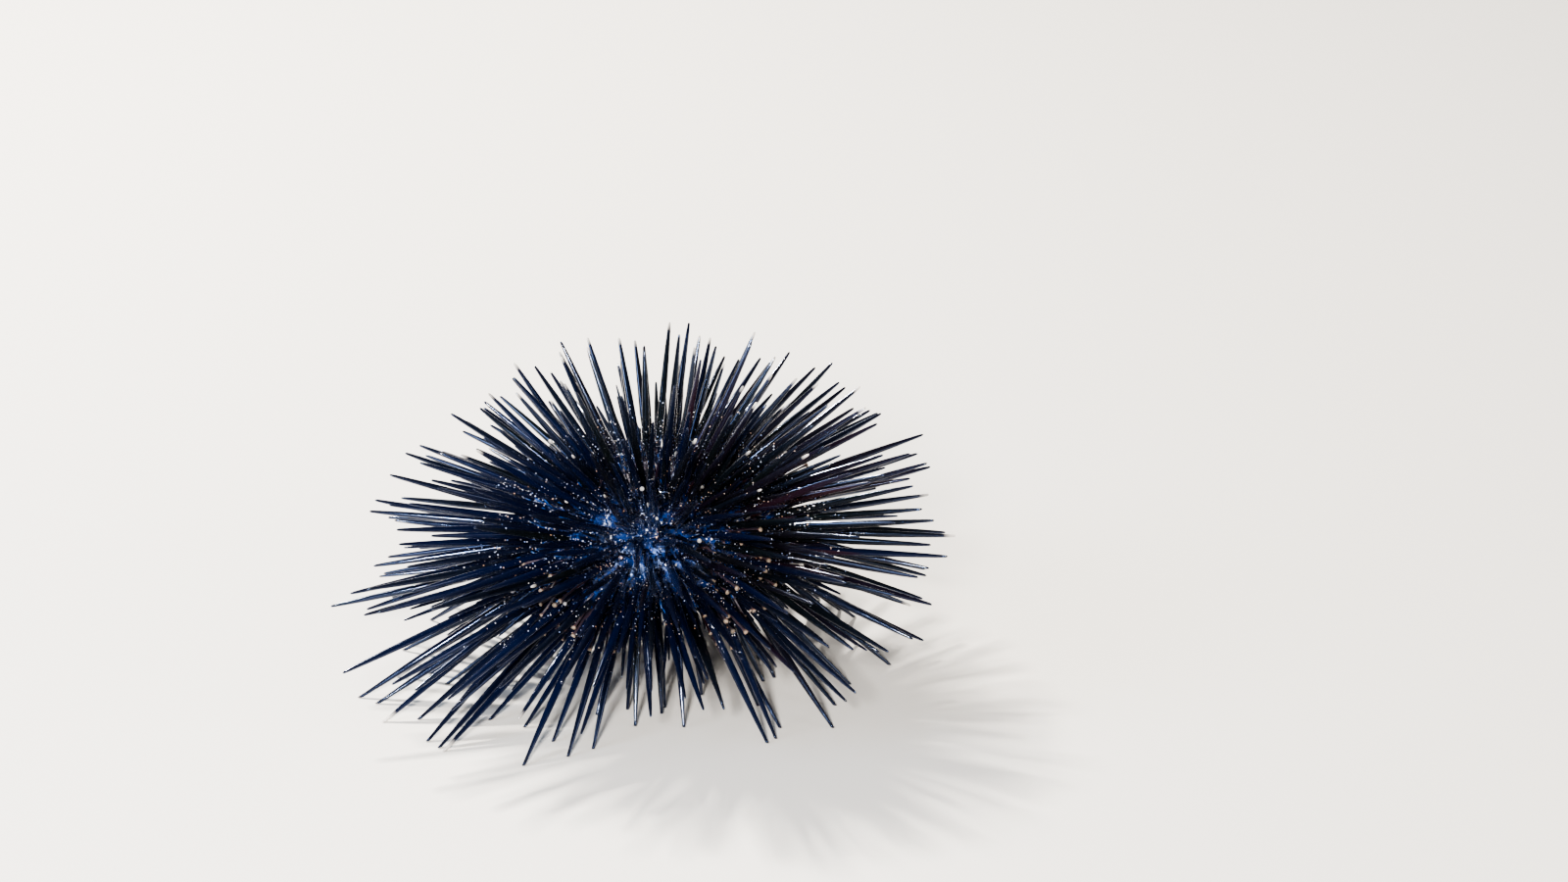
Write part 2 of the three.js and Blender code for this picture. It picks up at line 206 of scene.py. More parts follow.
def spine_length(beta, azimuth):
    low = min(max((LOW_START - beta) / (LOW_START - LOW_FULL), 0), 1)
    skirt = 1 + low * (side_gain(LONG_SIDE, azimuth) + side_gain(SHORT_SIDE, azimuth))
    if beta > 0:
        return skirt * (SPINE_LENGTH + (SPINE_LENGTH_TOP - SPINE_LENGTH) * math.sin(beta))
    t = min(max((-math.degrees(beta) - UNDER_START) / (UNDER_FULL - UNDER_START), 0), 1)
    return skirt * (SPINE_LENGTH + (SPINE_LENGTH_UNDER - SPINE_LENGTH) * t * t * (3 - 2 * t))


def tuft_axes():
    """The axes that spines gather round, evenly spread on a golden spiral."""
    count = np.arange(TUFTS)
    rise = 1 - (2 * count + 1) / TUFTS
    return heading(count * math.pi * (3 - math.sqrt(5)), np.arcsin(rise))


TUFT_AXES = tuft_axes()


def surface_point(beta, azimuth):
    return round_point(profile_radius(beta), azimuth, profile_height(beta))


def draw_spine(beta, azimuth, draw, share):
    """One spine's root, heading, end, and whether it stands on the ground."""
    root = body_to_part(surface_point(beta, azimuth))
    wander = np.array([draw() - 0.5, draw() - 0.5, draw() - 0.5])
    fan = heading(azimuth, fan_elevation(beta))
    tuft = TUFT_AXES[np.argmax(TUFT_AXES @ fan)]
    direction = lean(unit(fan + (tuft - fan) * TUFT_PULL + wander * 2 * WANDER))
    length = spine_length(beta, azimuth) * share * (1 + LENGTH_SPREAD * (2 * draw() - 1))
    stands = root[2] + length * direction[2] < GROUND_BAND
    if stands:
        drop = min(root[2] / length, STEEPEST_DROP)
        keep = math.sqrt(1 - drop * drop) / math.hypot(direction[0], direction[1])
        direction = np.array([direction[0] * keep, direction[1] * keep, -drop])
        length = min(length, -root[2] / direction[2])
        stands = root[2] + length * direction[2] < ON_GROUND
    return root, root + direction * length, stands


def line_distances(root, end, roots, ends):
    """How far one spine's centre line passes from each of the others."""
    u, v, w = end - root, ends - roots, root - roots
    uu, uv, vv = u @ u, v @ u, np.sum(v * v, 1)
    uw, vw = w @ u, np.sum(v * w, 1)
    denominator = uu * vv - uv * uv
    s = np.where(denominator > TINY, (uv * vw - vv * uw) / np.maximum(denominator, TINY), 0)
    s = np.clip(s, 0, 1)
    t = np.clip((uv * s + vw) / vv, 0, 1)
    s = np.clip((uv * t - uw) / uu, 0, 1)
    return np.linalg.norm(w + s[:, None] * u - t[:, None] * v, axis=1)


def slice_list():
    slices = []
    for k in range(RAYS):
        ray = FIRST_RAY + k * math.tau / RAYS
        slices.append({"name": f"ambulacrum_{k + 1}", "azimuth": ray, "span": AMBULACRUM_SPAN})
        middle = ray + math.pi / RAYS
        slices.append({"name": f"interambulacrum_{k + 1}", "azimuth": middle, "span": INTER_SPAN})
    return slices


class Spines:
    """Spines in arrays that fill up one by one."""

    def __init__(self, most):
        self.count = 0
        self.rows = {key: np.zeros((most, 3)) for key in ("root", "end")}
        self.rows |= {key: np.zeros(most) for key in ("stands", "slice", "beta", "azimuth", "radius")}

    def add(self, **values):
        for key, value in values.items():
            self.rows[key][self.count] = value
        self.count += 1

    def clearance(self, root, end):
        """Room between a new centre line and the nearest side of a spine that is there."""
        if self.count == 0:
            return math.inf
        root_of, end_of, radius_of = (self.rows[k][:self.count] for k in ("root", "end", "radius"))
        near = np.abs(root_of - root).sum(1) < CLEARANCE_REACH
        lines = line_distances(root, end, root_of[near], end_of[near])
        return float(np.min(lines - radius_of[near], initial=math.inf))

    def root_room(self, root):
        """Room between a new root and the nearest one."""
        away = np.linalg.norm(self.rows["root"][:self.count] - root, axis=1)
        return float(np.min(away - self.rows["radius"][:self.count]))

    def since(self, first):
        return {key: rows[first:self.count].copy() for key, rows in self.rows.items()}


def grow_spines(grown, draw):
    """The solids' grown spines, in the same order and from the same draws."""
    for row, beta in enumerate(spine_rows()):
        r = float(profile_radius(beta))
        for index, part in enumerate(slices):
            half = r * (part["span"] / 2)
            room = 2 * (half - EDGE)
            full = 1 if room < 0 else 1 + math.floor(room / COLUMN_PITCH)
            count = full - 1 if row % 2 and full > 1 else full
            if half < SPINE_RADIUS + EDGE_LEAST:
                continue
            pitch = room / (full - 1) if full > 1 else 0
            stray = ACROSS_STRAY if full > 1 else ACROSS_STRAY_ALONE
            for i in range(count):
                across = (i - (count - 1) / 2) * pitch
                for _ in range(GROWN_TRIES):
                    nudge = stray * (draw() - 0.5)
                    azimuth = part["azimuth"] + (across + nudge) / r
                    at = beta + ROW_STRAY * (draw() - 0.5)
                    root, end, stands = draw_spine(at, azimuth, draw, 1)
                    if grown.clearance(root, end) > SPINE_RADIUS + SPINE_CLEARANCE:
                        grown.add(root=root, end=end, stands=stands, slice=index, beta=at,
                                  azimuth=azimuth, radius=SPINE_RADIUS)
                        break


def grow_young_spines(grown, draw):
    """The solids' young spines, wherever one has room and ends above the ground."""
    least, most = YOUNG_SHARE
    count = 0
    bottom, top = math.sin(LOWEST_ROW), math.sin(HIGHEST_ROW)
    for _ in range(YOUNG_TRIES):
        if count == YOUNG_COUNT:
            break
        beta = math.asin(bottom + (top - bottom) * draw())
        index = math.floor(len(slices) * draw())
        part = slices[index]
        r = float(profile_radius(beta))
        half = r * (part["span"] / 2) - YOUNG_RADIUS - EDGE_LEAST
        azimuth = part["azimuth"] + half * 2 * (draw() - 0.5) / r
        share = least + (most - least) * draw()
        root, end, stands = draw_spine(beta, azimuth, draw, share)
        clear = grown.clearance(root, end) > YOUNG_RADIUS + SPINE_CLEARANCE
        if half > 0 and end[2] > GROUND_BAND and clear:
            grown.add(root=root, end=end, stands=stands, slice=index, beta=beta,
                      azimuth=azimuth, radius=YOUNG_RADIUS)
            count += 1


slices = slice_list()
spines = Spines(MOST_SPINES)
stream = solid_stream(SEED)
grow_spines(spines, stream)
grow_young_spines(spines, stream)
primary = spines.since(0)
middle = (primary["end"].min(0) + primary["end"].max(0)) / 2
SHIFT = np.array([-middle[0], -middle[1], 0.0])


# Finer spines, drawn for the render alone

FINE_SEED = 7
FILL_MOUTH_MARGIN = 0.6
SKIN_TOP = APEX_RADIUS + GAP + 0.3
VENT_MARGIN = 2.4
FILL_TRIES = 3
FILL_RADIUS_SPREAD = (0.85, 1.1)
FLOOR_ROOM = (0.8, 3.0)

# Each kind's size and its room: spacing between roots, clearance between sides, and the radius
# round the top that it stops at
SHORT = {
    "tries": 700, "radius": 0.42, "length": (6, 15), "wander": 0.1,
    "spacing": 0.5, "clearance": 0.06, "top": SKIN_TOP,
}
GLOBES = {
    "tries": 90, "radius": 0.38, "length": (3.5, 12), "wander": 0.12,
    "spacing": 0.4, "clearance": 0.02, "top": SKIN_TOP,
}
STUBS = {
    "tries": 1300, "radius": 0.3, "length": (3, 7), "wander": 0.16,
    "spacing": 0.35, "clearance": 0.04, "top": SKIN_TOP,
}
TINY_THINGS = {"tries": 4200, "spacing": 0.2, "clearance": 0.02, "top": VENT_MARGIN}
PINCERS = TINY_THINGS | {"radius": 0.16, "length": (1.6, 4.2), "wander": 0.3}
PRICKLES = TINY_THINGS | {"radius": 0.17, "length": (1.2, 3.0), "wander": 0.25}

rng = np.random.default_rng(FINE_SEED)


def slice_of(azimuth):
    """Index of the slice that an azimuth falls in."""
    turn = (azimuth - FIRST_RAY + AMBULACRUM_SPAN / 2) % math.tau
    ray, rest = divmod(turn, math.tau / RAYS)
    return int(ray) * 2 + (0 if rest < AMBULACRUM_SPAN else 1)


def scatter(count, low_beta, high_beta):
    """Random places on the test, as many to each unit of its area."""
    placed = []
    most = TEST_RADIUS * max(TEST_RADIUS, TEST_RISE)
    while len(placed) < count:
        beta = rng.uniform(low_beta, high_beta)
        r = float(profile_radius(beta))
        rise = TEST_RISE if beta > 0 else TEST_DROP
        run = SHOULDER * TEST_RADIUS * math.cos(beta) ** (SHOULDER - 1) * math.sin(beta)
        if rng.random() * most < r * math.hypot(run, rise * math.cos(beta)):
            placed.append((beta, rng.uniform(0, math.tau)))
    return placed


def fill_spines(kind):
    """Spines of one kind in the free ground between all the others."""
    low = -beta_at_radius(MOUTH_RADIUS + GAP + FILL_MOUTH_MARGIN)
    high = beta_at_radius(kind["top"])
    first = spines.count
    for beta, azimuth in scatter(kind["tries"], low, high):
        root = body_to_part(surface_point(beta, azimuth))
        if spines.root_room(root) < kind["spacing"]:
            continue
        radius = kind["radius"] * rng.uniform(*FILL_RADIUS_SPREAD)
        for _ in range(FILL_TRIES):
            wander = rng.normal(0, kind["wander"], 3)
            direction = lean(unit(heading(azimuth, fan_elevation(beta)) + wander))
            length = rng.uniform(*kind["length"])
            if root[2] + length * direction[2] < FLOOR_ROOM[0]:
                length = (root[2] - rng.uniform(*FLOOR_ROOM)) / -direction[2]
            end = root + direction * length
            if spines.clearance(root, end) > radius + kind["clearance"]:
                spines.add(root=root, end=end, stands=0, slice=slice_of(azimuth), beta=beta,
                           azimuth=azimuth, radius=radius)
                break
    return spines.since(first)


short, globes, stubs, pincers, prickles = (
    fill_spines(kind) for kind in (SHORT, GLOBES, STUBS, PINCERS, PRICKLES)
)


# Meshes

def make_object(name, points, quads, tris):
    """A smooth mesh object from arrays, in part-frame millimetres, moved to the frame's origin."""
    points = (points + SHIFT) * MM
    loops = np.concatenate([quads.ravel(), tris.ravel()]).astype(np.int32)
    starts = np.concatenate([np.arange(len(quads)) * 4, len(quads) * 4 + np.arange(len(tris)) * 3])
    mesh = bpy.data.meshes.new(name)
    mesh.vertices.add(len(points))
    mesh.vertices.foreach_set("co", points.astype(np.float32).ravel())
    mesh.loops.add(len(loops))
    mesh.loops.foreach_set("vertex_index", loops)
    mesh.polygons.add(len(starts))
    mesh.polygons.foreach_set("loop_start", starts.astype(np.int32))
    mesh.update(calc_edges=True)
    mesh.validate()
    mesh.shade_smooth()
    made = bpy.data.objects.new(name, mesh)
    bpy.context.scene.collection.objects.link(made)
    return made


def ring_quads(grid):
    """Faces between the rings of a grid of points, each ring closed on itself."""
    ahead = np.roll(grid, -1, axis=1)
    return np.stack([grid[:-1], grid[1:], ahead[1:], ahead[:-1]], -1).reshape(-1, 4)


def ring_fan(middle, ring):
    """Triangles from one point to the closed ring round it."""
    return np.stack([np.full(len(ring), middle), ring, np.roll(ring, -1)], -1)


def set_attribute(made, name, values):
    attribute = made.data.attributes.new(name, "FLOAT", "POINT")
    attribute.data.foreach_set("value", np.asarray(values, np.float32).ravel())


def set_uv(made, name, uv):
    """A UV map from one pair for each vertex. A face that crosses u = 1 is carried over."""
    mesh = made.data
    index = np.zeros(len(mesh.loops), np.int32)
    mesh.loops.foreach_get("vertex_index", index)
    pairs = np.asarray(uv, float)[index]
    start = np.zeros(len(mesh.polygons), np.int32)
    mesh.polygons.foreach_get("loop_start", start)
    face = np.searchsorted(start, np.arange(len(index)), side="right") - 1
    most = np.full(len(start), -np.inf)
    np.maximum.at(most, face, pairs[:, 0])
    wraps = pairs[:, 0] < most[face] - 0.5
    pairs[wraps, 0] += 1
    mesh.uv_layers.new(name=name).data.foreach_set("uv", pairs.astype(np.float32).ravel())


# The unwrap of the skin: its place and size on the map, and the size of one spine's patch there
BAKE_PATCH = 0.003
MAP_LEFT, MAP_WIDTH = 0.005, 0.98
MAP_BOTTOM, MAP_HEIGHT = 0.3, 0.65

# A heading that hardly any spine has, which sets how each one is turned on its own axis
SIDE_HINT = np.array([0.12, 0.05, 1.0])


def skin_uv(beta, azimuth):
    """Where a place on the test lies on the unwrap of the skin."""
    around = np.mod(azimuth / math.tau, 1)
    up = np.asarray(beta) / math.pi + 0.5
    return np.stack([MAP_LEFT + MAP_WIDTH * around, MAP_BOTTOM + MAP_HEIGHT * up], -1)


def sweep(name, root, direction, along, radius, sides, tags, bend=None, foot=None):
    """One mesh of many tapered tubes. along and radius hold a row of rings for each tube, and the
    last place along is a point. bend is how far each end curves away. foot marks the tubes whose
    end is cut level with the ground."""
    count, rings = along.shape[0], along.shape[1] - 1
    side = unit(np.cross(direction, SIDE_HINT))
    up = np.cross(direction, side)
    centre = root[:, None] + along[..., None] * direction[:, None]
    if bend is not None:
        centre = centre + bend[:, None] * (along / along[:, -1:])[..., None] ** 2
    turn = math.tau * np.arange(sides) / sides
    spokes = side[:, None] * np.cos(turn)[:, None] + up[:, None] * np.sin(turn)[:, None]
    points = centre[:, :rings, None] + radius[:, :rings, None, None] * spokes[:, None]
    tips = centre[:, -1]
    if foot is not None and foot.any():
        last = points[foot, -1]
        down = direction[foot][:, None]
        points[foot, -1] = last - down * (last[..., 2:] / down[..., 2:])
        points[foot, ..., 2] = np.maximum(points[foot, ..., 2], 0)
        tips[foot, 2] = 0
    points = points.reshape(count, rings * sides, 3)
    stride = rings * sides + 1
    all_points = np.concatenate([points, tips[:, None]], 1).reshape(-1, 3)
    i = np.arange(sides)
    j = (i + 1) % sides
    level = np.arange(rings - 1)[:, None] * sides
    one = np.stack([level + i, level + j, level + sides + j, level + sides + i], -1).reshape(-1, 4)
    top = (rings - 1) * sides
    cone = np.stack([top + i, top + j, np.full(sides, rings * sides)], -1)
    offset = np.arange(count)[:, None, None] * stride
    quads = (one + offset).reshape(-1, 4)
    tris = (cone + offset).reshape(-1, 3)
    made = make_object(name, all_points, quads, tris)
    share = np.clip(along / along[:, -1:], 0, 1)
    per_ring = np.repeat(share[:, :rings], sides, axis=1)
    lengthwise = np.concatenate([per_ring, np.ones((count, 1))], 1).ravel()
    set_attribute(made, "along", lengthwise)
    for key in ("tone", "wet", "pale"):
        set_attribute(made, key, np.repeat(tags[key], stride))
    around = np.concatenate([np.tile(i / sides, rings), [0.5]])
    set_uv(made, "Shaft", np.stack([np.tile(around, count), lengthwise], -1))
    there_and_back = np.where(around > 0.5, 1 - around, around) * 2
    patch = np.stack([np.tile(there_and_back, count), lengthwise], -1)
    at = np.repeat(skin_uv(tags["beta"], tags["azimuth"]), stride, axis=0)
    set_uv(made, "OFBake", at + BAKE_PATCH * (patch - 0.5))
    return made


# The profile of a spine: the knob it turns on, the ring and neck above it, and the shaft.
# Heights are millimetres above the test, and radii are shares of the shaft's widest radius.
BASE_PROFILE = [
    (-0.9, 1.55), (0.05, 1.45), (0.35, 1.2), (0.6, 0.95),
    (0.8, 1.12), (0.98, 1.14), (1.2, 0.88), (1.9, 0.82),
]
SHAFT_STEPS = np.array([
    0, 0.1, 0.22, 0.35, 0.47, 0.57, 0.65, 0.72, 0.78, 0.835, 0.88, 0.915, 0.943, 0.964, 0.98, 0.991,
])
NECK_END = 4.2
NECK_SHARE = 0.3
TIP_SHARE = 0.24
TAPER_RUN = 14.0
TAPER_RUN_SHARE = 0.55
TAPER_POWER = 0.6
TIP_ROUND = 0.3
UNEVENNESS = 0.015


def shaft_radius(length, share):
    """Radius along the shaft, as a share of its widest: nearly even, then running to a blunt tip."""
    left = length * (1 - share)
    run = np.clip(left / np.minimum(TAPER_RUN, TAPER_RUN_SHARE * length), 0, 1)
    blunt = np.clip(left / TIP_ROUND, 0, 1) ** 0.5
    return blunt * (TIP_SHARE + (1 - TIP_SHARE) * run ** TAPER_POWER)


def spine_rings(length, radius):
    """Places along each spine and its radius there, from under the skin to the tip."""
    end, widest = length[:, None], radius[:, None]
    scale = widest / SPINE_RADIUS
    heights, widths = np.array(BASE_PROFILE).T
    start = np.minimum(NECK_END * scale, NECK_SHARE * end)
    shaft = start + (end - start) * SHAFT_STEPS
    uneven = 1 + rng.normal(0, UNEVENNESS, shaft.shape)
    shaft_r = shaft_radius(end, shaft / end) * widest * uneven
    along = np.concatenate([heights * scale, shaft, end], 1)
    return along, np.concatenate([widths * widest, shaft_r, 0 * end], 1)


# How a spine's tint follows its heading, which paints side light into it, how often and how much
# its tip is pale, which paints a glint on it, and the least wetness
PAINTED_LIGHT_LEVEL, PAINTED_LIGHT_UP, PAINTED_LIGHT_RIGHT, TINT_STRAY = 0.22, 0.3, 0.4, 0.17
LEAST_RIGHT = -0.2
HIGH_RISE = 0.45
PALE_LOW, PALE_HIGH = 0.3, 1.7
PALENESS = (0.4, 1)
SPINE_WETNESS, STALK_WETNESS = 0.2, 0.5


def spine_tags(spines, pale_share, wet_low):
    """Each spine's tint, wetness and paleness of tip. The tint is painted side light: by heading it
    runs from blue, a painted sky reflection on the low left side, over black at the top to brown, a
    painted bounce light on the right, plus a random spread. A pale tip is a painted glint."""
    count = len(spines["root"])
    way = unit(spines["end"] - spines["root"])
    up, right = np.clip(way[:, 2], 0, 1), np.clip(way[:, 0], LEAST_RIGHT, 1)
    # Painted side light: blue for a sky reflection low on the left, black on top, brown for a bounce
    # light on the right.
    painted_side_light = PAINTED_LIGHT_LEVEL + PAINTED_LIGHT_UP * up + PAINTED_LIGHT_RIGHT * right
    # Upward spines more often get a pale tip, a painted glint.
    pale_chance = pale_share * np.where(way[:, 2] > HIGH_RISE, PALE_HIGH, PALE_LOW)
    return {
        "tone": np.clip(painted_side_light + rng.normal(0, TINT_STRAY, count), 0, 1),
        "wet": rng.uniform(wet_low, 1, count),
        "pale": (rng.random(count) < pale_chance) * rng.uniform(*PALENESS, count),
        "beta": spines["beta"],
        "azimuth": spines["azimuth"],
    }


def spine_object(name, spines, sides, pale_share):
    """One mesh of whole spines. Those that stand keep a worn foot cut level with the ground."""
    axis = spines["end"] - spines["root"]
    length = np.linalg.norm(axis, axis=1)
    direction = axis / length[:, None]
    foot = spines["stands"].astype(bool)
    along, radius = spine_rings(length, spines["radius"])
    if foot.any():
        shaft = slice(-len(SHAFT_STEPS) - 1, -1)
        share = SHAFT_STEPS / SHAFT_STEPS[-1]
        worn = np.maximum(radius[foot, shaft], FOOT_RADIUS)
        radius[foot, shaft] = worn + (FOOT_RADIUS - worn[:, -1:]) * share
        start = along[foot, shaft][:, :1]
        along[foot, shaft] = start + (length[foot, None] - start) * share
    tags = spine_tags(spines, pale_share, SPINE_WETNESS)
    return sweep(name, spines["root"], direction, along, radius, sides, tags, foot=foot)


# Small things on stalks. Each profile is (share of the length, radius in millimetres).
PINCER_PROFILE = [
    (-0.2, 0.08), (0.3, 0.06), (0.66, 0.06), (0.74, 0.13), (0.82, 0.18),
    (0.9, 0.17), (0.96, 0.11), (0.99, 0.05), (1.0, 0.0),
]
GLOBE_PROFILE = [
    (-0.06, 0.2), (0.1, 0.12), (0.5, 0.1), (0.9, 0.11), (0.905, 0.24),
    (0.92, 0.35), (0.945, 0.4), (0.97, 0.36), (0.99, 0.22), (1.0, 0.0),
]
PRICKLE_PROFILE = [
    (-0.2, 0.24), (0.06, 0.22), (0.14, 0.13), (0.3, 0.17),
    (0.6, 0.14), (0.85, 0.1), (0.97, 0.06), (1.0, 0.0),
]


def stalk_object(name, spines, profile, sides, pale_share):
    """One mesh of many small things that share a profile."""
    axis = spines["end"] - spines["root"]
    length = np.linalg.norm(axis, axis=1)
    stations, widths = np.array(profile).T
    along = length[:, None] * stations
    radius = spines["radius"][:, None] / spines["radius"].mean() * widths
    tags = spine_tags(spines, pale_share, STALK_WETNESS)
    return sweep(name, spines["root"], axis / length[:, None], along, radius, sides, tags)


def in_slice(spines, index):
    return {key: value[spines["slice"] == index] for key, value in spines.items()}


# Materials

class Look:
    """One material and its nodes. Scales of noise and cells are repeats to the metre."""

    def __init__(self, name):
        self.material = bpy.data.materials.new(name)
        self.material.use_nodes = True
        self.tree = self.material.node_tree

    def fill(self, node, inputs):
        """Links each input to another node's output, or sets it to a number, vector or colour."""
        for key, value in inputs.items():
            socket = node.inputs[key]
            if isinstance(value, bpy.types.NodeSocket):
                self.tree.links.new(value, socket)
            else:
                socket.default_value = (*value, 1) if socket.type == "RGBA" else value

    def finish(self, inputs):
        """Fills the shader's own inputs and gives the material."""
        self.fill(self.tree.nodes["Principled BSDF"], inputs)
        return self.material

    def node(self, kind, inputs, **settings):
        made = self.tree.nodes.new("ShaderNode" + kind)
        for key, value in settings.items():
            setattr(made, key, value)
        self.fill(made, inputs)
        return made

    def attribute(self, name):
        return self.node("Attribute", {}, attribute_name=name).outputs["Fac"]

    def position(self):
        return self.node("TexCoord", {}).outputs["Object"]

    def math(self, operation, a, b=0.0, clamp=False):
        return self.node("Math", {0: a, 1: b}, operation=operation, use_clamp=clamp).outputs[0]

    def product(self, first, *others):
        for other in others:
            first = self.math("MULTIPLY", first, other)
        return first

    def scaled(self, value, gain, start, clamp=False):
        """A value times a gain, on top of a start."""
        return self.math("ADD", self.product(value, gain), start, clamp)

    def above(self, value, start, gain):
        """How far a value lies above a start, times a gain, kept between 0 and 1."""
        return self.math("MULTIPLY", self.math("SUBTRACT", value, start), gain, clamp=True)

    def vector_math(self, operation, inputs):
        return self.node("VectorMath", inputs, operation=operation).outputs["Vector"]

    def split(self, vector):
        return self.node("SeparateXYZ", {0: vector}).outputs

    def noise(self, where, scale, detail=3.0):
        inputs = {"Vector": where, "Scale": scale, "Detail": detail}
        return self.node("TexNoise", inputs).outputs["Fac"]

    def cells(self, where, scale):
        return self.node("TexVoronoi", {"Vector": where, "Scale": scale}).outputs

    def mix(self, factor, a, b):
        inputs = {"Factor": factor, "A": a, "B": b}
        return self.node("Mix", inputs, data_type="RGBA").outputs["Result"]

    def ramp(self, source, stops):
        """A colour for each value of the source, from stops of (value, colour)."""
        made = self.node("ValToRGB", {"Fac": source})
        elements = made.color_ramp.elements
        while len(elements) < len(stops):
            elements.new(0.5)
        for element, (value, colour) in zip(elements, stops):
            element.position = value
            element.color = (*colour, 1)
        return made.outputs["Color"]

    def bump(self, height, distance, strength, **below):
        inputs = {"Height": height, "Distance": distance, "Strength": strength} | below
        return self.node("Bump", inputs).outputs["Normal"]

    def painted_glints(self, colour, where, scale, size, share):
        """A colour strewn with tiny pale specks, painted glints, in a share of the cells of a fine
        mosaic.
        """
        cells = self.cells(where, scale)
        draws = self.split(cells["Color"])
        chosen = self.math("GREATER_THAN", share, draws["X"])
        inside = self.math("SUBTRACT", size, cells["Distance"])
        inside = self.math("MULTIPLY", inside, GLINT_EDGE, clamp=True)
        return self.mix(self.product(chosen, inside), colour, self.ramp(draws["Y"], GLINT_TINTS))

    def facets(self, where, scale, amount):
        """The surface's normal, tilted by a random amount in each cell of a fine mosaic."""
        cells = self.cells(where, scale)
        offset = self.vector_math("SUBTRACT", {0: cells["Color"], 1: (0.5, 0.5, 0.5)})
        offset = self.vector_math("SCALE", {0: offset, "Scale": amount})
        normal = self.node("NewGeometry", {}).outputs["Normal"]
        return self.vector_math("NORMALIZE", {0: self.vector_math("ADD", {0: offset, 1: normal})})


# Each tint is a place from 0 to 1 and a colour, as shares of red, green and blue light given back
# The spines' tints hold painted side light, set by each spine's heading: the blue end paints a sky
# reflection, the brown end a bounce light.
SPINE_TONES_AND_SIDE_LIGHT = [
    (0.0, (0.0015, 0.0035, 0.017)),
    (0.3, (0.0015, 0.0025, 0.01)),
    (0.55, (0.002, 0.003, 0.003)),
    (0.78, (0.005, 0.0027, 0.007)),
    (1.0, (0.018, 0.006, 0.007)),
]
# Pale bluish, white and warm specks that stand in for glints: painted highlights.
GLINT_TINTS = [
    (0.0, (0.35, 0.5, 0.95)),
    (0.4, (0.75, 0.8, 0.95)),
    (0.7, (0.85, 0.8, 0.75)),
    (1.0, (0.9, 0.5, 0.28)),
]
# The pincers' tints hold the same painted side light: blue for a sky reflection, brown for a bounce
# light.
PINCER_TONES_AND_SIDE_LIGHT = [(0.0, (0.008, 0.05, 0.22)), (0.4, (0.006, 0.012, 0.03)), (1.0, (0.05, 0.024, 0.022))]
SKIN_TONES = [(0.38, (0.002, 0.003, 0.01)), (0.5, (0.003, 0.008, 0.038)), (0.64, (0.004, 0.022, 0.115))]
PLATE_TONES = [(0.3, (0.002, 0.002, 0.005)), (0.6, (0.012, 0.008, 0.017)), (1.0, (0.035, 0.022, 0.04))]
FOOT_TONES = [(0.0, (0.012, 0.008, 0.02)), (0.93, (0.035, 0.023, 0.03)), (1.0, (0.2, 0.15, 0.11))]
IVORY_TONES = [(0.3, (0.62, 0.57, 0.45)), (0.7, (0.86, 0.83, 0.75))]
SPINE_TIP = (0.004, 0.005, 0.012)
# Pale end: on the spines' tips a painted glint, on pincer heads partly their own pale colour and partly
# a painted glint.
PALE_END_AND_GLINT = (0.55, 0.52, 0.48)
COLLAR = (0.003, 0.022, 0.12)
MOUTH_BROWN = (0.09, 0.05, 0.07)
# A specular tint that paints a blue sky reflection into the reflections of the spines and skin.
PAINTED_SKY_REFLECTION_TINT = (0.35, 0.52, 1.0)

TIP_SHARPNESS = 6.0
PINCER_HEAD = 0.7
GROOVES = 9
BEAD_RADIUS = 0.3
BEADS_START = 0.57
GLINT_EDGE = 16.0
GLINT_REACH = 0.5
GLINT_GAIN = 1.9
TILT_GAIN = 5.0


def spine_colour(look, where, along, near):
    """The shaft's tint with its painted side light, then its darker tip, blue collar, a pale end that
    is a painted glint, and pale specks that are painted glints.
    """
    # The tint set by heading is painted side light, plus a random spread.
    colour = look.ramp(look.attribute("tone"), SPINE_TONES_AND_SIDE_LIGHT)
    colour = look.mix(look.math("POWER", along, TIP_SHARPNESS), colour, SPINE_TIP)
    low = look.scaled(along, gain=-14.0, start=1.3, clamp=True)
    blotch = look.above(look.noise(where, scale=260), start=0.45, gain=7.0)
    colour = look.mix(look.product(low, blotch), colour, COLLAR)
    # The pale end of the tip is a painted glint, not wear.
    worn = look.above(along, start=0.93, gain=22.0)
    colour = look.mix(look.product(worn, look.attribute("pale")), colour, PALE_END_AND_GLINT)
    # Pale specks near the root of the wet spines are painted glints.
    return look.painted_glints(colour, where, scale=2100, size=0.27, share=near)


def spine_relief(look, where, near, wet):
    """Grooves up the shaft, and patches of beads, most of them near the root."""
    shaft = look.node("UVMap", {}, uv_map="Shaft").outputs["UV"]
    grooves = look.math("SINE", look.product(look.split(shaft)["X"], math.tau * GROOVES))
    dome = look.math("SUBTRACT", BEAD_RADIUS, look.cells(where, scale=1500)["Distance"], clamp=True)
    patch = look.scaled(near, gain=0.3, start=look.noise(where, scale=120))
    patch = look.math("SUBTRACT", patch, BEADS_START, clamp=True)
    beads = look.product(patch, wet, dome)
    normal = look.bump(grooves, distance=0.004 * MM, strength=0.4)
    return look.bump(beads, distance=4 * MM, strength=1.0, Normal=normal)


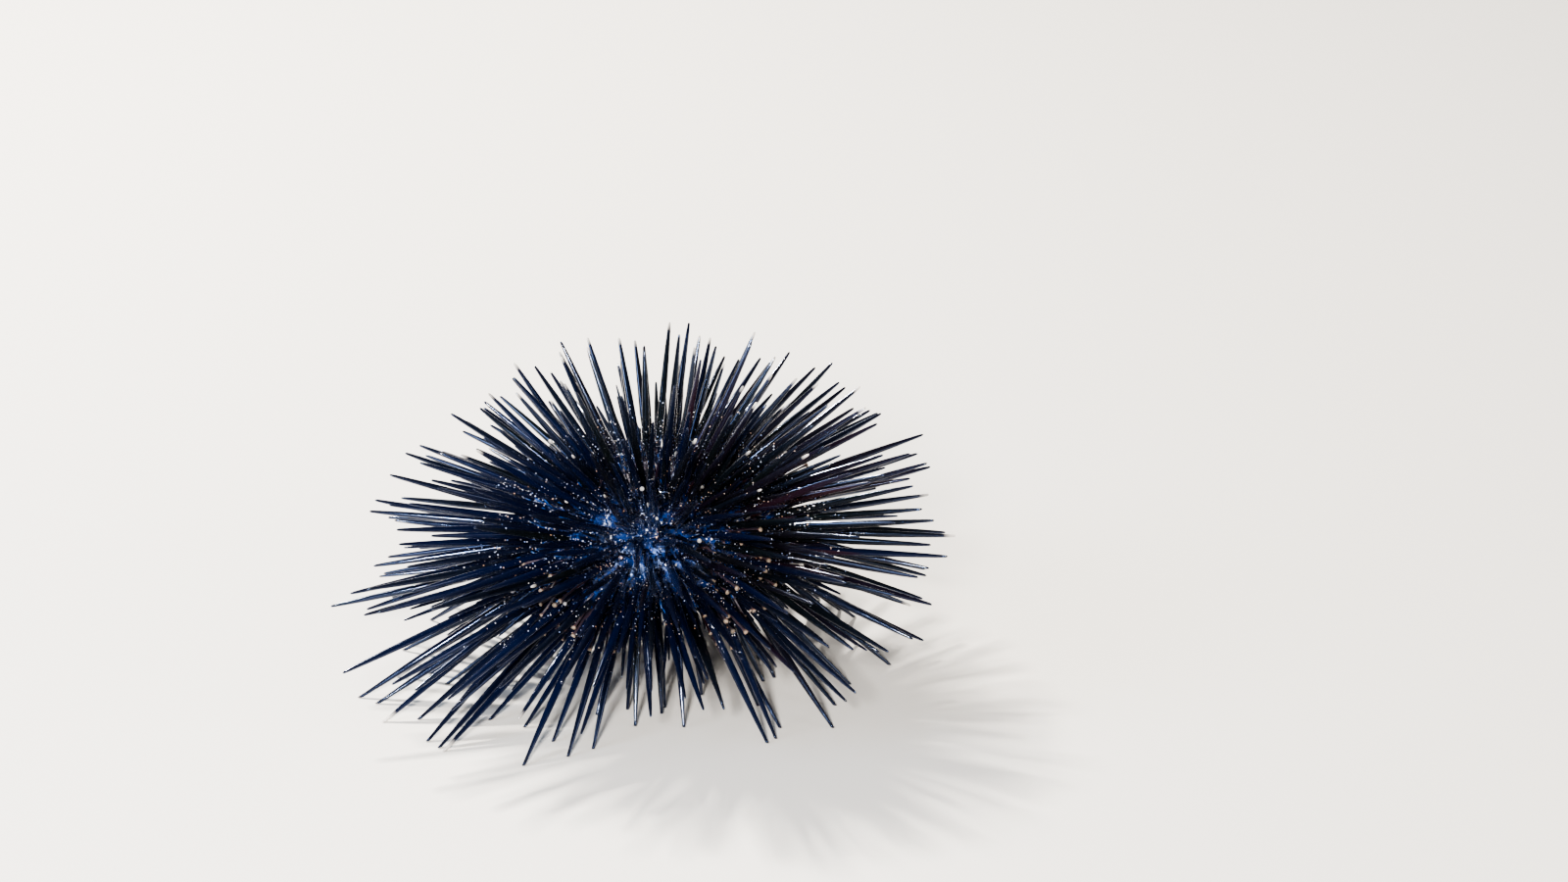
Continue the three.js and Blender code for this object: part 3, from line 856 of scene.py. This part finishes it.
def spine_material():
    """Wet, near-black violet, with a specular tint that paints a blue sky reflection. Fine grooves
    run up the shaft, a collar of blue tissue wraps its base, and bright specks, which are painted
    glints, and beads lie along its lower part."""
    look = Look("wet_spine")
    where, along, wet = look.position(), look.attribute("along"), look.attribute("wet")
    near = look.math("SUBTRACT", GLINT_REACH, along, clamp=True)
    near = look.product(near, wet, GLINT_GAIN)
    tilt = look.math("MULTIPLY", near, TILT_GAIN, clamp=True)
    return look.finish({
        "Base Color": spine_colour(look, where, along, near),
        "Normal": spine_relief(look, where, near, wet),
        "Roughness": look.scaled(look.noise(where, scale=300), gain=0.14, start=0.06),
        "IOR": 1.4,
        "Specular IOR Level": 0.6,
        # Painted reflection: this tint colours the reflections sky blue.
        "Specular Tint": PAINTED_SKY_REFLECTION_TINT,
        "Coat Weight": 0.4,
        "Coat Roughness": 0.07,
        "Coat IOR": 1.45,
        "Coat Normal": look.facets(where, scale=4500, amount=tilt),
    })


def pincer_material():
    """Pincers on stalks: dark violet with painted side light, wet, with pale specks that are painted
    glints, and some pale heads that are partly their own pale colour and partly painted glints.
    """
    look = Look("pincer")
    where = look.position()
    colour = look.ramp(look.attribute("tone"), PINCER_TONES_AND_SIDE_LIGHT)
    # Pale specks on the pincers are painted glints.
    colour = look.painted_glints(colour, where, scale=1700, size=0.22, share=0.4)
    # Pale heads: partly the heads' own pale colour, partly painted glints.
    head = look.math("GREATER_THAN", look.attribute("along"), PINCER_HEAD)
    head = look.product(head, look.attribute("pale"))
    return look.finish({
        "Base Color": look.mix(head, colour, PALE_END_AND_GLINT),
        "Normal": look.bump(look.noise(where, scale=2500), distance=0.06 * MM, strength=0.6),
        "Roughness": 0.16,
        "Coat Weight": 1.0,
        "Coat Roughness": 0.1,
        "Coat Normal": look.facets(where, scale=4500, amount=1.0),
    })


def skin_material():
    """The wet skin between the spines, blue-black with bright blue tissue, browner at the mouth, with
    pale specks that are painted glints and a specular tint that paints a blue sky reflection.
    """
    look = Look("wet_skin")
    where = look.position()
    colour = look.ramp(look.noise(where, scale=330, detail=5.0), SKIN_TONES)
    # Pale specks on the skin are painted glints.
    colour = look.painted_glints(colour, where, scale=1100, size=0.24, share=0.4)
    uneven = look.noise(where, scale=1500, detail=5.0)
    return look.finish({
        "Base Color": look.mix(look.attribute("mouth"), colour, MOUTH_BROWN),
        "Normal": look.bump(uneven, distance=0.25 * MM, strength=0.8),
        "Roughness": look.scaled(uneven, gain=0.35, start=0.1),
        # Painted reflection: this tint colours the reflections sky blue.
        "Specular Tint": PAINTED_SKY_REFLECTION_TINT,
        "Coat Weight": 1.0,
        "Coat Roughness": 0.1,
        "Coat Normal": look.facets(where, scale=3500, amount=1.1),
    })


def plate_material():
    """The plates at the top: violet-brown shell, dark in the seams and pores."""
    look = Look("apical_plate")
    uneven = look.noise(look.position(), scale=900)
    height = look.scaled(uneven, gain=0.3, start=look.attribute("height"))
    return look.finish({
        "Base Color": look.ramp(height, PLATE_TONES),
        "Normal": look.bump(uneven, distance=0.12 * MM, strength=0.7),
        "Roughness": 0.38,
        "Coat Weight": 0.4,
        "Coat Roughness": 0.12,
    })


def foot_material():
    """Tube feet: soft, violet-brown, with paler suckers."""
    look = Look("tube_foot")
    uneven = look.noise(look.position(), scale=2200)
    return look.finish({
        "Base Color": look.ramp(look.attribute("along"), FOOT_TONES),
        "Normal": look.bump(uneven, distance=0.08 * MM, strength=0.7),
        "Roughness": 0.3,
        "Subsurface Weight": 0.15,
        "Subsurface Scale": 1 * MM,
    })


def tooth_material():
    """Teeth: smooth, mottled ivory."""
    look = Look("tooth_enamel")
    mottle = look.noise(look.position(), scale=700)
    return look.finish({
        "Base Color": look.ramp(mottle, IVORY_TONES),
        "Normal": look.bump(mottle, distance=0.05 * MM, strength=0.5),
        "Roughness": 0.3,
    })


WET_SPINE = spine_material()
PINCER = pincer_material()
WET_SKIN = skin_material()
PLATE = plate_material()
TUBE_FOOT = foot_material()
ENAMEL = tooth_material()


# Spine pieces, one for each slice of the body and each kind

# Shares of pale ends: on spines a painted glint at the tip, on pincer heads partly their own colour and
# partly a painted glint.
NONE_PALE, FEW_PALE, SOME_PALE, MOST_PALE = 0.0, 0.03, 0.2, 3.0


def place(made, material, slot, *nodes):
    made.data.materials.append(material)
    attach(made, "root")
    if nodes:
        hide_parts(*nodes)


for index, part in enumerate(slices):
    name = part["name"]
    grown = spine_object(f"spines_{name}", in_slice(primary, index), 12, SOME_PALE)
    place(grown, WET_SPINE, "spines", name)
    shorter = spine_object(f"short_spines_{name}", in_slice(short, index), 9, NONE_PALE)
    place(shorter, WET_SPINE, "spines")
place(spine_object("stub_spines", stubs, 7, NONE_PALE), WET_SPINE, "spines")
place(stalk_object("prickles", prickles, PRICKLE_PROFILE, 6, NONE_PALE), WET_SPINE, "spines")
place(stalk_object("pincers", pincers, PINCER_PROFILE, 7, FEW_PALE), PINCER, "flesh")
# These large pale heads are partly their own pale colour and partly painted glints.
place(stalk_object("pale_pincers", globes, GLOBE_PROFILE, 12, MOST_PALE), PINCER, "flesh")


# The skin: one surface from the top plates, over the body, to inside the mouth

SKIN_ROUND = 400
SKIN_ROWS = 190
LIP_STEPS = 5
LIP_TURN = 0.006
PLATE_THICKNESS = 0.4
RIM = 0.3
MOUTH_RIM = 0.4
RIM_BLEND = 0.6
BOSS_HEIGHT = 0.5
BOSS_SPREAD = 1.9
FOLDS = 30
FOLD_HEIGHT = 0.16
FOLD_START = LIP_RADIUS - 0.4
FOLD_RUN = 2
MOUTH_ROOF = -TEST_DROP + MOUTH_DEPTH - GAP

# The skin inside the mouth's edge: radius, and depth below the roof of the mouth
LIPS = [
    (MOUTH_RADIUS, 0.6), (MOUTH_RADIUS - 1.0, 0.85), (LIP_RADIUS + 3.2, 1.05),
    (LIP_RADIUS + 1.6, 1.4), (LIP_RADIUS + 0.7, 2.0), (LIP_RADIUS + 0.15, 1.9),
    (LIP_RADIUS, 1.2), (LIP_RADIUS - 0.1, 0.3), (0.0, 0.2),
]


def skin_profile():
    """Points (radius, height, beta) down the skin, from the top to inside the lips."""
    betas = np.linspace(math.pi / 2, -beta_at_radius(MOUTH_RADIUS + GAP), SKIN_ROWS)
    rows = [(float(profile_radius(b)), float(profile_height(b)), b) for b in betas[1:]]
    rows.insert(0, (0.0, TEST_RISE, math.pi / 2))
    radius, height, beta = rows[-1]
    for lip_radius, drop in LIPS:
        wider, higher = lip_radius - radius, MOUTH_ROOF - drop - height
        for i in range(1, LIP_STEPS + 1):
            t = i / LIP_STEPS
            beta = max(beta - LIP_TURN, -math.pi / 2)
            rows.append((radius + wider * t, height + higher * t, beta))
        radius, height = lip_radius, MOUTH_ROOF - drop
    return np.array(rows)


def boss_lift(points):
    """How far the skin rises at each point, into a low boss round the root of each spine."""
    radii = np.concatenate([primary["radius"], short["radius"]])
    tree = KDTree(len(radii))
    for index, root in enumerate(np.concatenate([primary["root"], short["root"]])):
        tree.insert(root, index)
    tree.balance()
    lift = np.zeros(len(points))
    for i, point in enumerate(points):
        _, which, away = tree.find(point)
        lift[i] = BOSS_HEIGHT * radii[which] * math.exp(-((away / (BOSS_SPREAD * radii[which])) ** 2))
    return lift


def skin_object():
    rows = skin_profile()
    turn = math.tau * np.arange(SKIN_ROUND) / SKIN_ROUND
    r, z, beta = (rows[:, k][:, None] + 0 * turn for k in range(3))
    points = round_point(r, turn, z)
    top = np.clip((APEX_RADIUS + RIM - r) / RIM_BLEND, 0, 1) * (z > 0)
    under = np.clip((MOUTH_RADIUS + MOUTH_RIM - r) / RIM_BLEND, 0, 1) * (z < 0)
    folded = np.clip((r - FOLD_START) / FOLD_RUN, 0, 1)
    folds = FOLD_HEIGHT * np.sin(turn * FOLDS + 2 * np.sin(r)) * folded
    lift = boss_lift(body_to_part(points).reshape(-1, 3)).reshape(r.shape)
    lift = lift * (1 - top) * (1 - under) - PLATE_THICKNESS * top + folds * under
    slope_r, slope_z = np.gradient(rows[:, 0]), np.gradient(rows[:, 1])
    out = unit(np.stack([-slope_z, slope_r], -1))
    points[..., 0] += lift * out[:, 0][:, None] * np.cos(turn)
    points[..., 1] += lift * out[:, 0][:, None] * np.sin(turn)
    points[..., 2] += lift * out[:, 1][:, None]
    grid = np.arange(len(rows) * SKIN_ROUND).reshape(len(rows), SKIN_ROUND)
    tris = np.vstack([ring_fan(grid[0, 0], grid[1]), ring_fan(grid[-1, 0], grid[-2])[:, [1, 0, 2]]])
    quads = ring_quads(grid[1:-1])
    used = np.unique(np.concatenate([quads.ravel(), tris.ravel()]))
    flat = body_to_part(points).reshape(-1, 3)
    renumber = np.zeros(len(flat), int)
    renumber[used] = np.arange(len(used))
    made = make_object("skin", flat[used], renumber[quads], renumber[tris])
    set_attribute(made, "mouth", under.ravel()[used])
    around = np.broadcast_to(turn, r.shape)
    set_uv(made, "OFBake", skin_uv(beta, around).reshape(-1, 2)[used])
    return made


skin_nodes = [part["name"] for part in slices] + ["mouth_membrane"]
place(skin_object(), WET_SKIN, "flesh", *skin_nodes)


# The plates at the top: five large ones and five outer ones in rings, and small ones at the vent

PLATE_RINGS, PLATE_ROUND = 64, 200
OUTER_AT, LARGE_AT, SMALL_AT = 4.7, 3.3, 1.15
SMALL_PLATES, SMALL_TURN = 8, 0.3
PLATE_REACH, PLATE_DOME = 1.7, 0.16
SEAM_WIDTH, SEAM_DEPTH = 0.22, 0.22
SIEVE_RADIUS, SIEVE_HEIGHT = 0.9, 0.12
HOLE_PITCH, HOLE_WAVER, HOLE_DEPTH = 19, 7, 0.14
PORE_RADIUS, PORE_DEPTH = 0.17, 0.4
INNER_PORES, OUTER_PORES = 0.78, 1.03
GRANULES = 90
GRANULE_RADIUS, GRANULE_HEIGHT = 0.16, 0.14
VENT_RADIUS, VENT_DEPTH = 0.42, 0.7

# What the relief adds to the height that the plates' tint follows
TINT_MIDDLE, TINT_GAIN = 0.6, 1.6


def spot(radius, turn):
    return radius * math.cos(turn), radius * math.sin(turn)


def plate_middles():
    """Middles (x, y) of the outer plates, the large plates and the small ones round the vent."""
    rays = [FIRST_RAY + k * math.tau / RAYS for k in range(RAYS)]
    turns = (np.arange(SMALL_PLATES) + SMALL_TURN) * math.tau / SMALL_PLATES
    outer = [spot(OUTER_AT, ray) for ray in rays]
    large = [spot(LARGE_AT, ray + math.pi / RAYS) for ray in rays]
    return outer, large, [spot(SMALL_AT, turn) for turn in turns]


def bumps(x, y, middles, width):
    """A round bump of height 1 at each middle."""
    total = np.zeros_like(x)
    for a, b in middles:
        total += np.exp(-(((x - a) ** 2 + (y - b) ** 2) / width ** 2))
    return total


def granule_places():
    places = []
    while len(places) < GRANULES:
        r = APEX_RADIUS * math.sqrt(rng.random())
        turn = rng.uniform(0, math.tau)
        if r > 2 * VENT_RADIUS:
            places.append(spot(r, turn))
    return places


def plate_relief(x, y):
    """Height of the plates over the test: domes and seams, granules, pores, the sieve plate and
    the vent."""
    outer, large, small = plate_middles()
    away = np.stack([np.hypot(x - a, y - b) for a, b in outer + large + small], -1)
    away.sort(-1)
    dome = np.clip(1 - away[..., 0] / PLATE_REACH, 0, 1)
    seam = np.exp(-(((away[..., 1] - away[..., 0]) / SEAM_WIDTH) ** 2))
    inner_pores = [(INNER_PORES * a, INNER_PORES * b) for a, b in large]
    outer_pores = [(OUTER_PORES * a, OUTER_PORES * b) for a, b in outer]
    granules = bumps(x, y, granule_places(), GRANULE_RADIUS)
    pores = bumps(x, y, inner_pores + outer_pores, PORE_RADIUS)
    sieve_x, sieve_y = large[0]
    sieve = np.exp(-((np.hypot(x - sieve_x, y - sieve_y) / SIEVE_RADIUS) ** 4))
    waver = np.sin(x * HOLE_WAVER)
    holes = np.clip(np.sin(x * HOLE_PITCH) * np.sin(y * HOLE_PITCH + waver), 0, 1)
    vent = np.exp(-((np.hypot(x, y) / VENT_RADIUS) ** 4))
    relief = PLATE_DOME * dome - SEAM_DEPTH * seam
    relief += GRANULE_HEIGHT * granules - PORE_DEPTH * pores
    return relief + sieve * (SIEVE_HEIGHT - HOLE_DEPTH * holes) - VENT_DEPTH * vent


def plates_object():
    radii = np.linspace(0, APEX_RADIUS + RIM, PLATE_RINGS + 1)[1:, None]
    turn = math.tau * np.arange(PLATE_ROUND) / PLATE_ROUND
    x, y = radii * np.cos(turn), radii * np.sin(turn)
    beta = np.arccos((radii / TEST_RADIUS) ** (1 / SHOULDER))
    relief = plate_relief(x, y)
    rim = np.clip((radii - APEX_RADIUS) / RIM, 0, 1)
    z = profile_height(beta) + relief * (1 - rim) - (PLATE_THICKNESS + RIM) * rim
    grid = np.arange(x.size).reshape(x.shape)
    points = np.stack([x, y, z], -1).reshape(-1, 3)
    points = body_to_part(np.concatenate([points, [[0, 0, TEST_RISE - VENT_DEPTH]]]))
    made = make_object("apical_plates", points, ring_quads(grid), ring_fan(x.size, grid[0]))
    height = np.append(relief.ravel(), -VENT_DEPTH)
    set_attribute(made, "height", np.clip(TINT_MIDDLE + TINT_GAIN * height, 0, 1))
    return made


place(plates_object(), PLATE, "plates", "apical_disc")


# Teeth: five curved chisels that meet under the mouth

TOOTH_STEPS, TOOTH_SIDES = 16, 12
TOOTH_LENGTH = 4.7
TOOTH_HALF_WIDTH, TOOTH_NARROWING = 0.55, 0.6
TOOTH_INNER = (0.55, 0.4)
TOOTH_TAPER, TOOTH_CURVE = 2.15, 1.4
TOOTH_CORNERS = 0.7
TOOTH_ROOM = 0.8
TOOTH_LEAST = 0.3


def tooth_ring(t):
    """One level of a tooth, a rounded box that narrows to its edge and keeps to its own fifth."""
    inner = TOOTH_INNER[0] + (TOOTH_INNER[1] - TOOTH_INNER[0]) * t
    outer = LIP_RADIUS - GAP - TOOTH_TAPER * t ** TOOTH_CURVE
    half = TOOTH_HALF_WIDTH * (1 - TOOTH_NARROWING * t ** 3)
    spread = math.tan(math.pi / RAYS) * TOOTH_ROOM
    ring = []
    for k in range(TOOTH_SIDES):
        turn = math.tau * k / TOOTH_SIDES
        c, s = math.cos(turn), math.sin(turn)
        x = (inner + outer) / 2 + (outer - inner) / 2 * math.copysign(abs(c) ** TOOTH_CORNERS, c)
        y = half * math.copysign(abs(s) ** TOOTH_CORNERS, s)
        limit = min(half, max(x, TOOTH_LEAST) * spread)
        ring.append((x, max(-limit, min(limit, y)), MOUTH_ROOF - TOOTH_LENGTH * t))
    return ring


def tooth_object(number):
    turn = FIRST_RAY + (number - 0.5) * math.tau / RAYS
    rings = [tooth_ring(i / TOOTH_STEPS) for i in range(TOOTH_STEPS + 1)]
    x, y, z = np.array(rings).reshape(-1, 3).T
    c, s = math.cos(turn), math.sin(turn)
    points = np.stack([c * x - s * y, s * x + c * y, z], -1)
    grid = np.arange(len(points)).reshape(TOOTH_STEPS + 1, TOOTH_SIDES)
    top, edge = grid[0], grid[-1]
    ends = [(top[0], top[k], top[k + 1]) for k in range(1, TOOTH_SIDES - 1)]
    ends += [(edge[0], edge[k + 1], edge[k]) for k in range(1, TOOTH_SIDES - 1)]
    points = body_to_part(points)
    return make_object(f"enamel_tooth_{number}", points, ring_quads(grid), np.array(ends))


for number in range(1, RAYS + 1):
    place(tooth_object(number), ENAMEL, "teeth", f"tooth_{number}")


# Tube feet, in two rows down each ambulacrum, mostly on the lower half

FOOT_ROWS = np.radians(np.arange(-58, 30, 5.0))
FOOT_EDGE = 0.1
FOOT_STRAY = 0.02
FOOT_WANDER = 0.2
FOOT_SLOPE, FOOT_DROOP = 0.9, 0.2
FOOT_LENGTH = (4.0, 10.0)
FOOT_BEND = 1.1
FOOT_SAG = (0.2, 1.4)

# (share of the length, radius in millimetres)
FOOT_PROFILE = [
    (-0.08, 0.34), (0.05, 0.28), (0.25, 0.22), (0.5, 0.2), (0.75, 0.2),
    (0.9, 0.22), (0.95, 0.34), (0.97, 0.48), (0.995, 0.42), (1.0, 0.0),
]


def tube_feet():
    places = []
    for part in slices[::2]:
        for side in (-1, 1):
            for beta in FOOT_ROWS:
                offset = side * (part["span"] / 2 - FOOT_EDGE) + rng.normal(0, FOOT_STRAY)
                places.append((beta + rng.normal(0, FOOT_STRAY), part["azimuth"] + offset))
    beta, azimuth = np.array(places).T
    count = len(beta)
    root = body_to_part(surface_point(beta, azimuth))
    wander = rng.normal(0, FOOT_WANDER, root.shape)
    direction = lean(unit(heading(azimuth, beta * FOOT_SLOPE - FOOT_DROOP) + wander))
    length = rng.uniform(*FOOT_LENGTH, count)
    stations, widths = np.array(FOOT_PROFILE).T
    along = length[:, None] * stations
    radius = np.broadcast_to(widths, along.shape)
    bend = rng.normal(0, FOOT_BEND, root.shape)
    bend[:, 2] = -rng.uniform(*FOOT_SAG, count)
    tags = {"tone": rng.random(count), "wet": np.ones(count), "pale": np.zeros(count)}
    tags |= {"beta": beta, "azimuth": azimuth}
    return sweep("tube_feet", root, direction, along, radius, 9, tags, bend=bend)


place(tube_feet(), TUBE_FOOT, "flesh")


# Floor, light and camera

FLOOR_SIZE = 6
FLOOR_DROP = 0.0002
FLOOR_COLOUR = (0.6, 0.575, 0.54)
WORLD_COLOUR = (0.8, 0.87, 1.0, 1)
WORLD_STRENGTH = 0.15
LIT_POINT = (0, 0, 0.03)

# Each light: name, place, size, power in watts, colour
LIGHTS = [
    ("sun_side", (-0.42, 0.55, 0.72), 0.1, 36, (1.0, 0.95, 0.87)),
    ("sky_side", (-0.75, -0.3, 0.5), 0.4, 8, (0.7, 0.82, 1.0)),
    ("front", (-0.1, -0.82, 0.43), 0.12, 24, (1.0, 0.96, 0.91)),
    ("fill_side", (0.8, -0.35, 0.35), 0.35, 3, (1.0, 0.95, 0.88)),
]


def make_floor():
    bpy.ops.mesh.primitive_plane_add(size=FLOOR_SIZE, location=(0, 0, -FLOOR_DROP))
    floor = bpy.context.object
    floor.name = "floor"
    look = Look("pale_floor")
    floor.data.materials.append(look.finish({"Base Color": FLOOR_COLOUR, "Roughness": 0.7}))


def area_light(name, place_at, size, power, colour):
    data = bpy.data.lights.new(name, "AREA")
    data.shape = "DISK"
    data.size = size
    data.energy = power
    data.color = colour
    lamp = bpy.data.objects.new(name, data)
    lamp.location = place_at
    lamp.rotation_mode = "QUATERNION"
    lamp.rotation_quaternion = (Vector(LIT_POINT) - Vector(place_at)).to_track_quat("-Z", "Y")
    bpy.context.scene.collection.objects.link(lamp)


def make_light():
    world = bpy.data.worlds.new("studio")
    world.use_nodes = True
    background = world.node_tree.nodes["Background"]
    background.inputs["Color"].default_value = WORLD_COLOUR
    background.inputs["Strength"].default_value = WORLD_STRENGTH
    bpy.context.scene.world = world
    for light in LIGHTS:
        area_light(*light)


def make_camera():
    """The camera that frames the spines' tips as the photograph does."""
    back = Vector((0, -math.cos(CAMERA_ELEVATION), math.sin(CAMERA_ELEVATION)))
    turn = (-back).to_track_quat("-Z", "Y")
    right, up = turn @ Vector((1, 0, 0)), turn @ Vector((0, 1, 0))
    ends = (primary["end"] + SHIFT) * MM
    across, height = ends @ np.array(right), ends @ np.array(up)
    pixel = (across.max() - across.min()) / (OUTLINE_RIGHT - OUTLINE_LEFT)
    off_x = (PHOTO_WIDTH - OUTLINE_LEFT - OUTLINE_RIGHT) / 2
    off_y = (OUTLINE_TOP + OUTLINE_BOTTOM - PHOTO_HEIGHT) / 2
    aim_right = (across.max() + across.min()) / 2 + off_x * pixel
    aim_up = (height.max() + height.min()) / 2 + off_y * pixel
    body = Vector((SHIFT[0], SHIFT[1], CENTRE_HEIGHT)) * MM
    aim = body + right * (aim_right - body.dot(right)) + up * (aim_up - body.dot(up))
    camera = bpy.data.objects.new("camera", bpy.data.cameras.new("camera"))
    camera.location = aim + back * CAMERA_DISTANCE
    camera.rotation_mode = "QUATERNION"
    camera.rotation_quaternion = turn
    camera.data.sensor_width = CAMERA_SENSOR
    camera.data.lens = CAMERA_SENSOR * CAMERA_DISTANCE / (PHOTO_WIDTH * pixel)
    camera.data.clip_start = CAMERA_NEAR
    camera.data.clip_end = CAMERA_FAR
    bpy.context.scene.collection.objects.link(camera)
    bpy.context.scene.camera = camera


make_floor()
make_light()
make_camera()
bpy.context.scene.view_settings.view_transform = "AgX"
bpy.context.scene.view_settings.look = "AgX - Medium High Contrast"
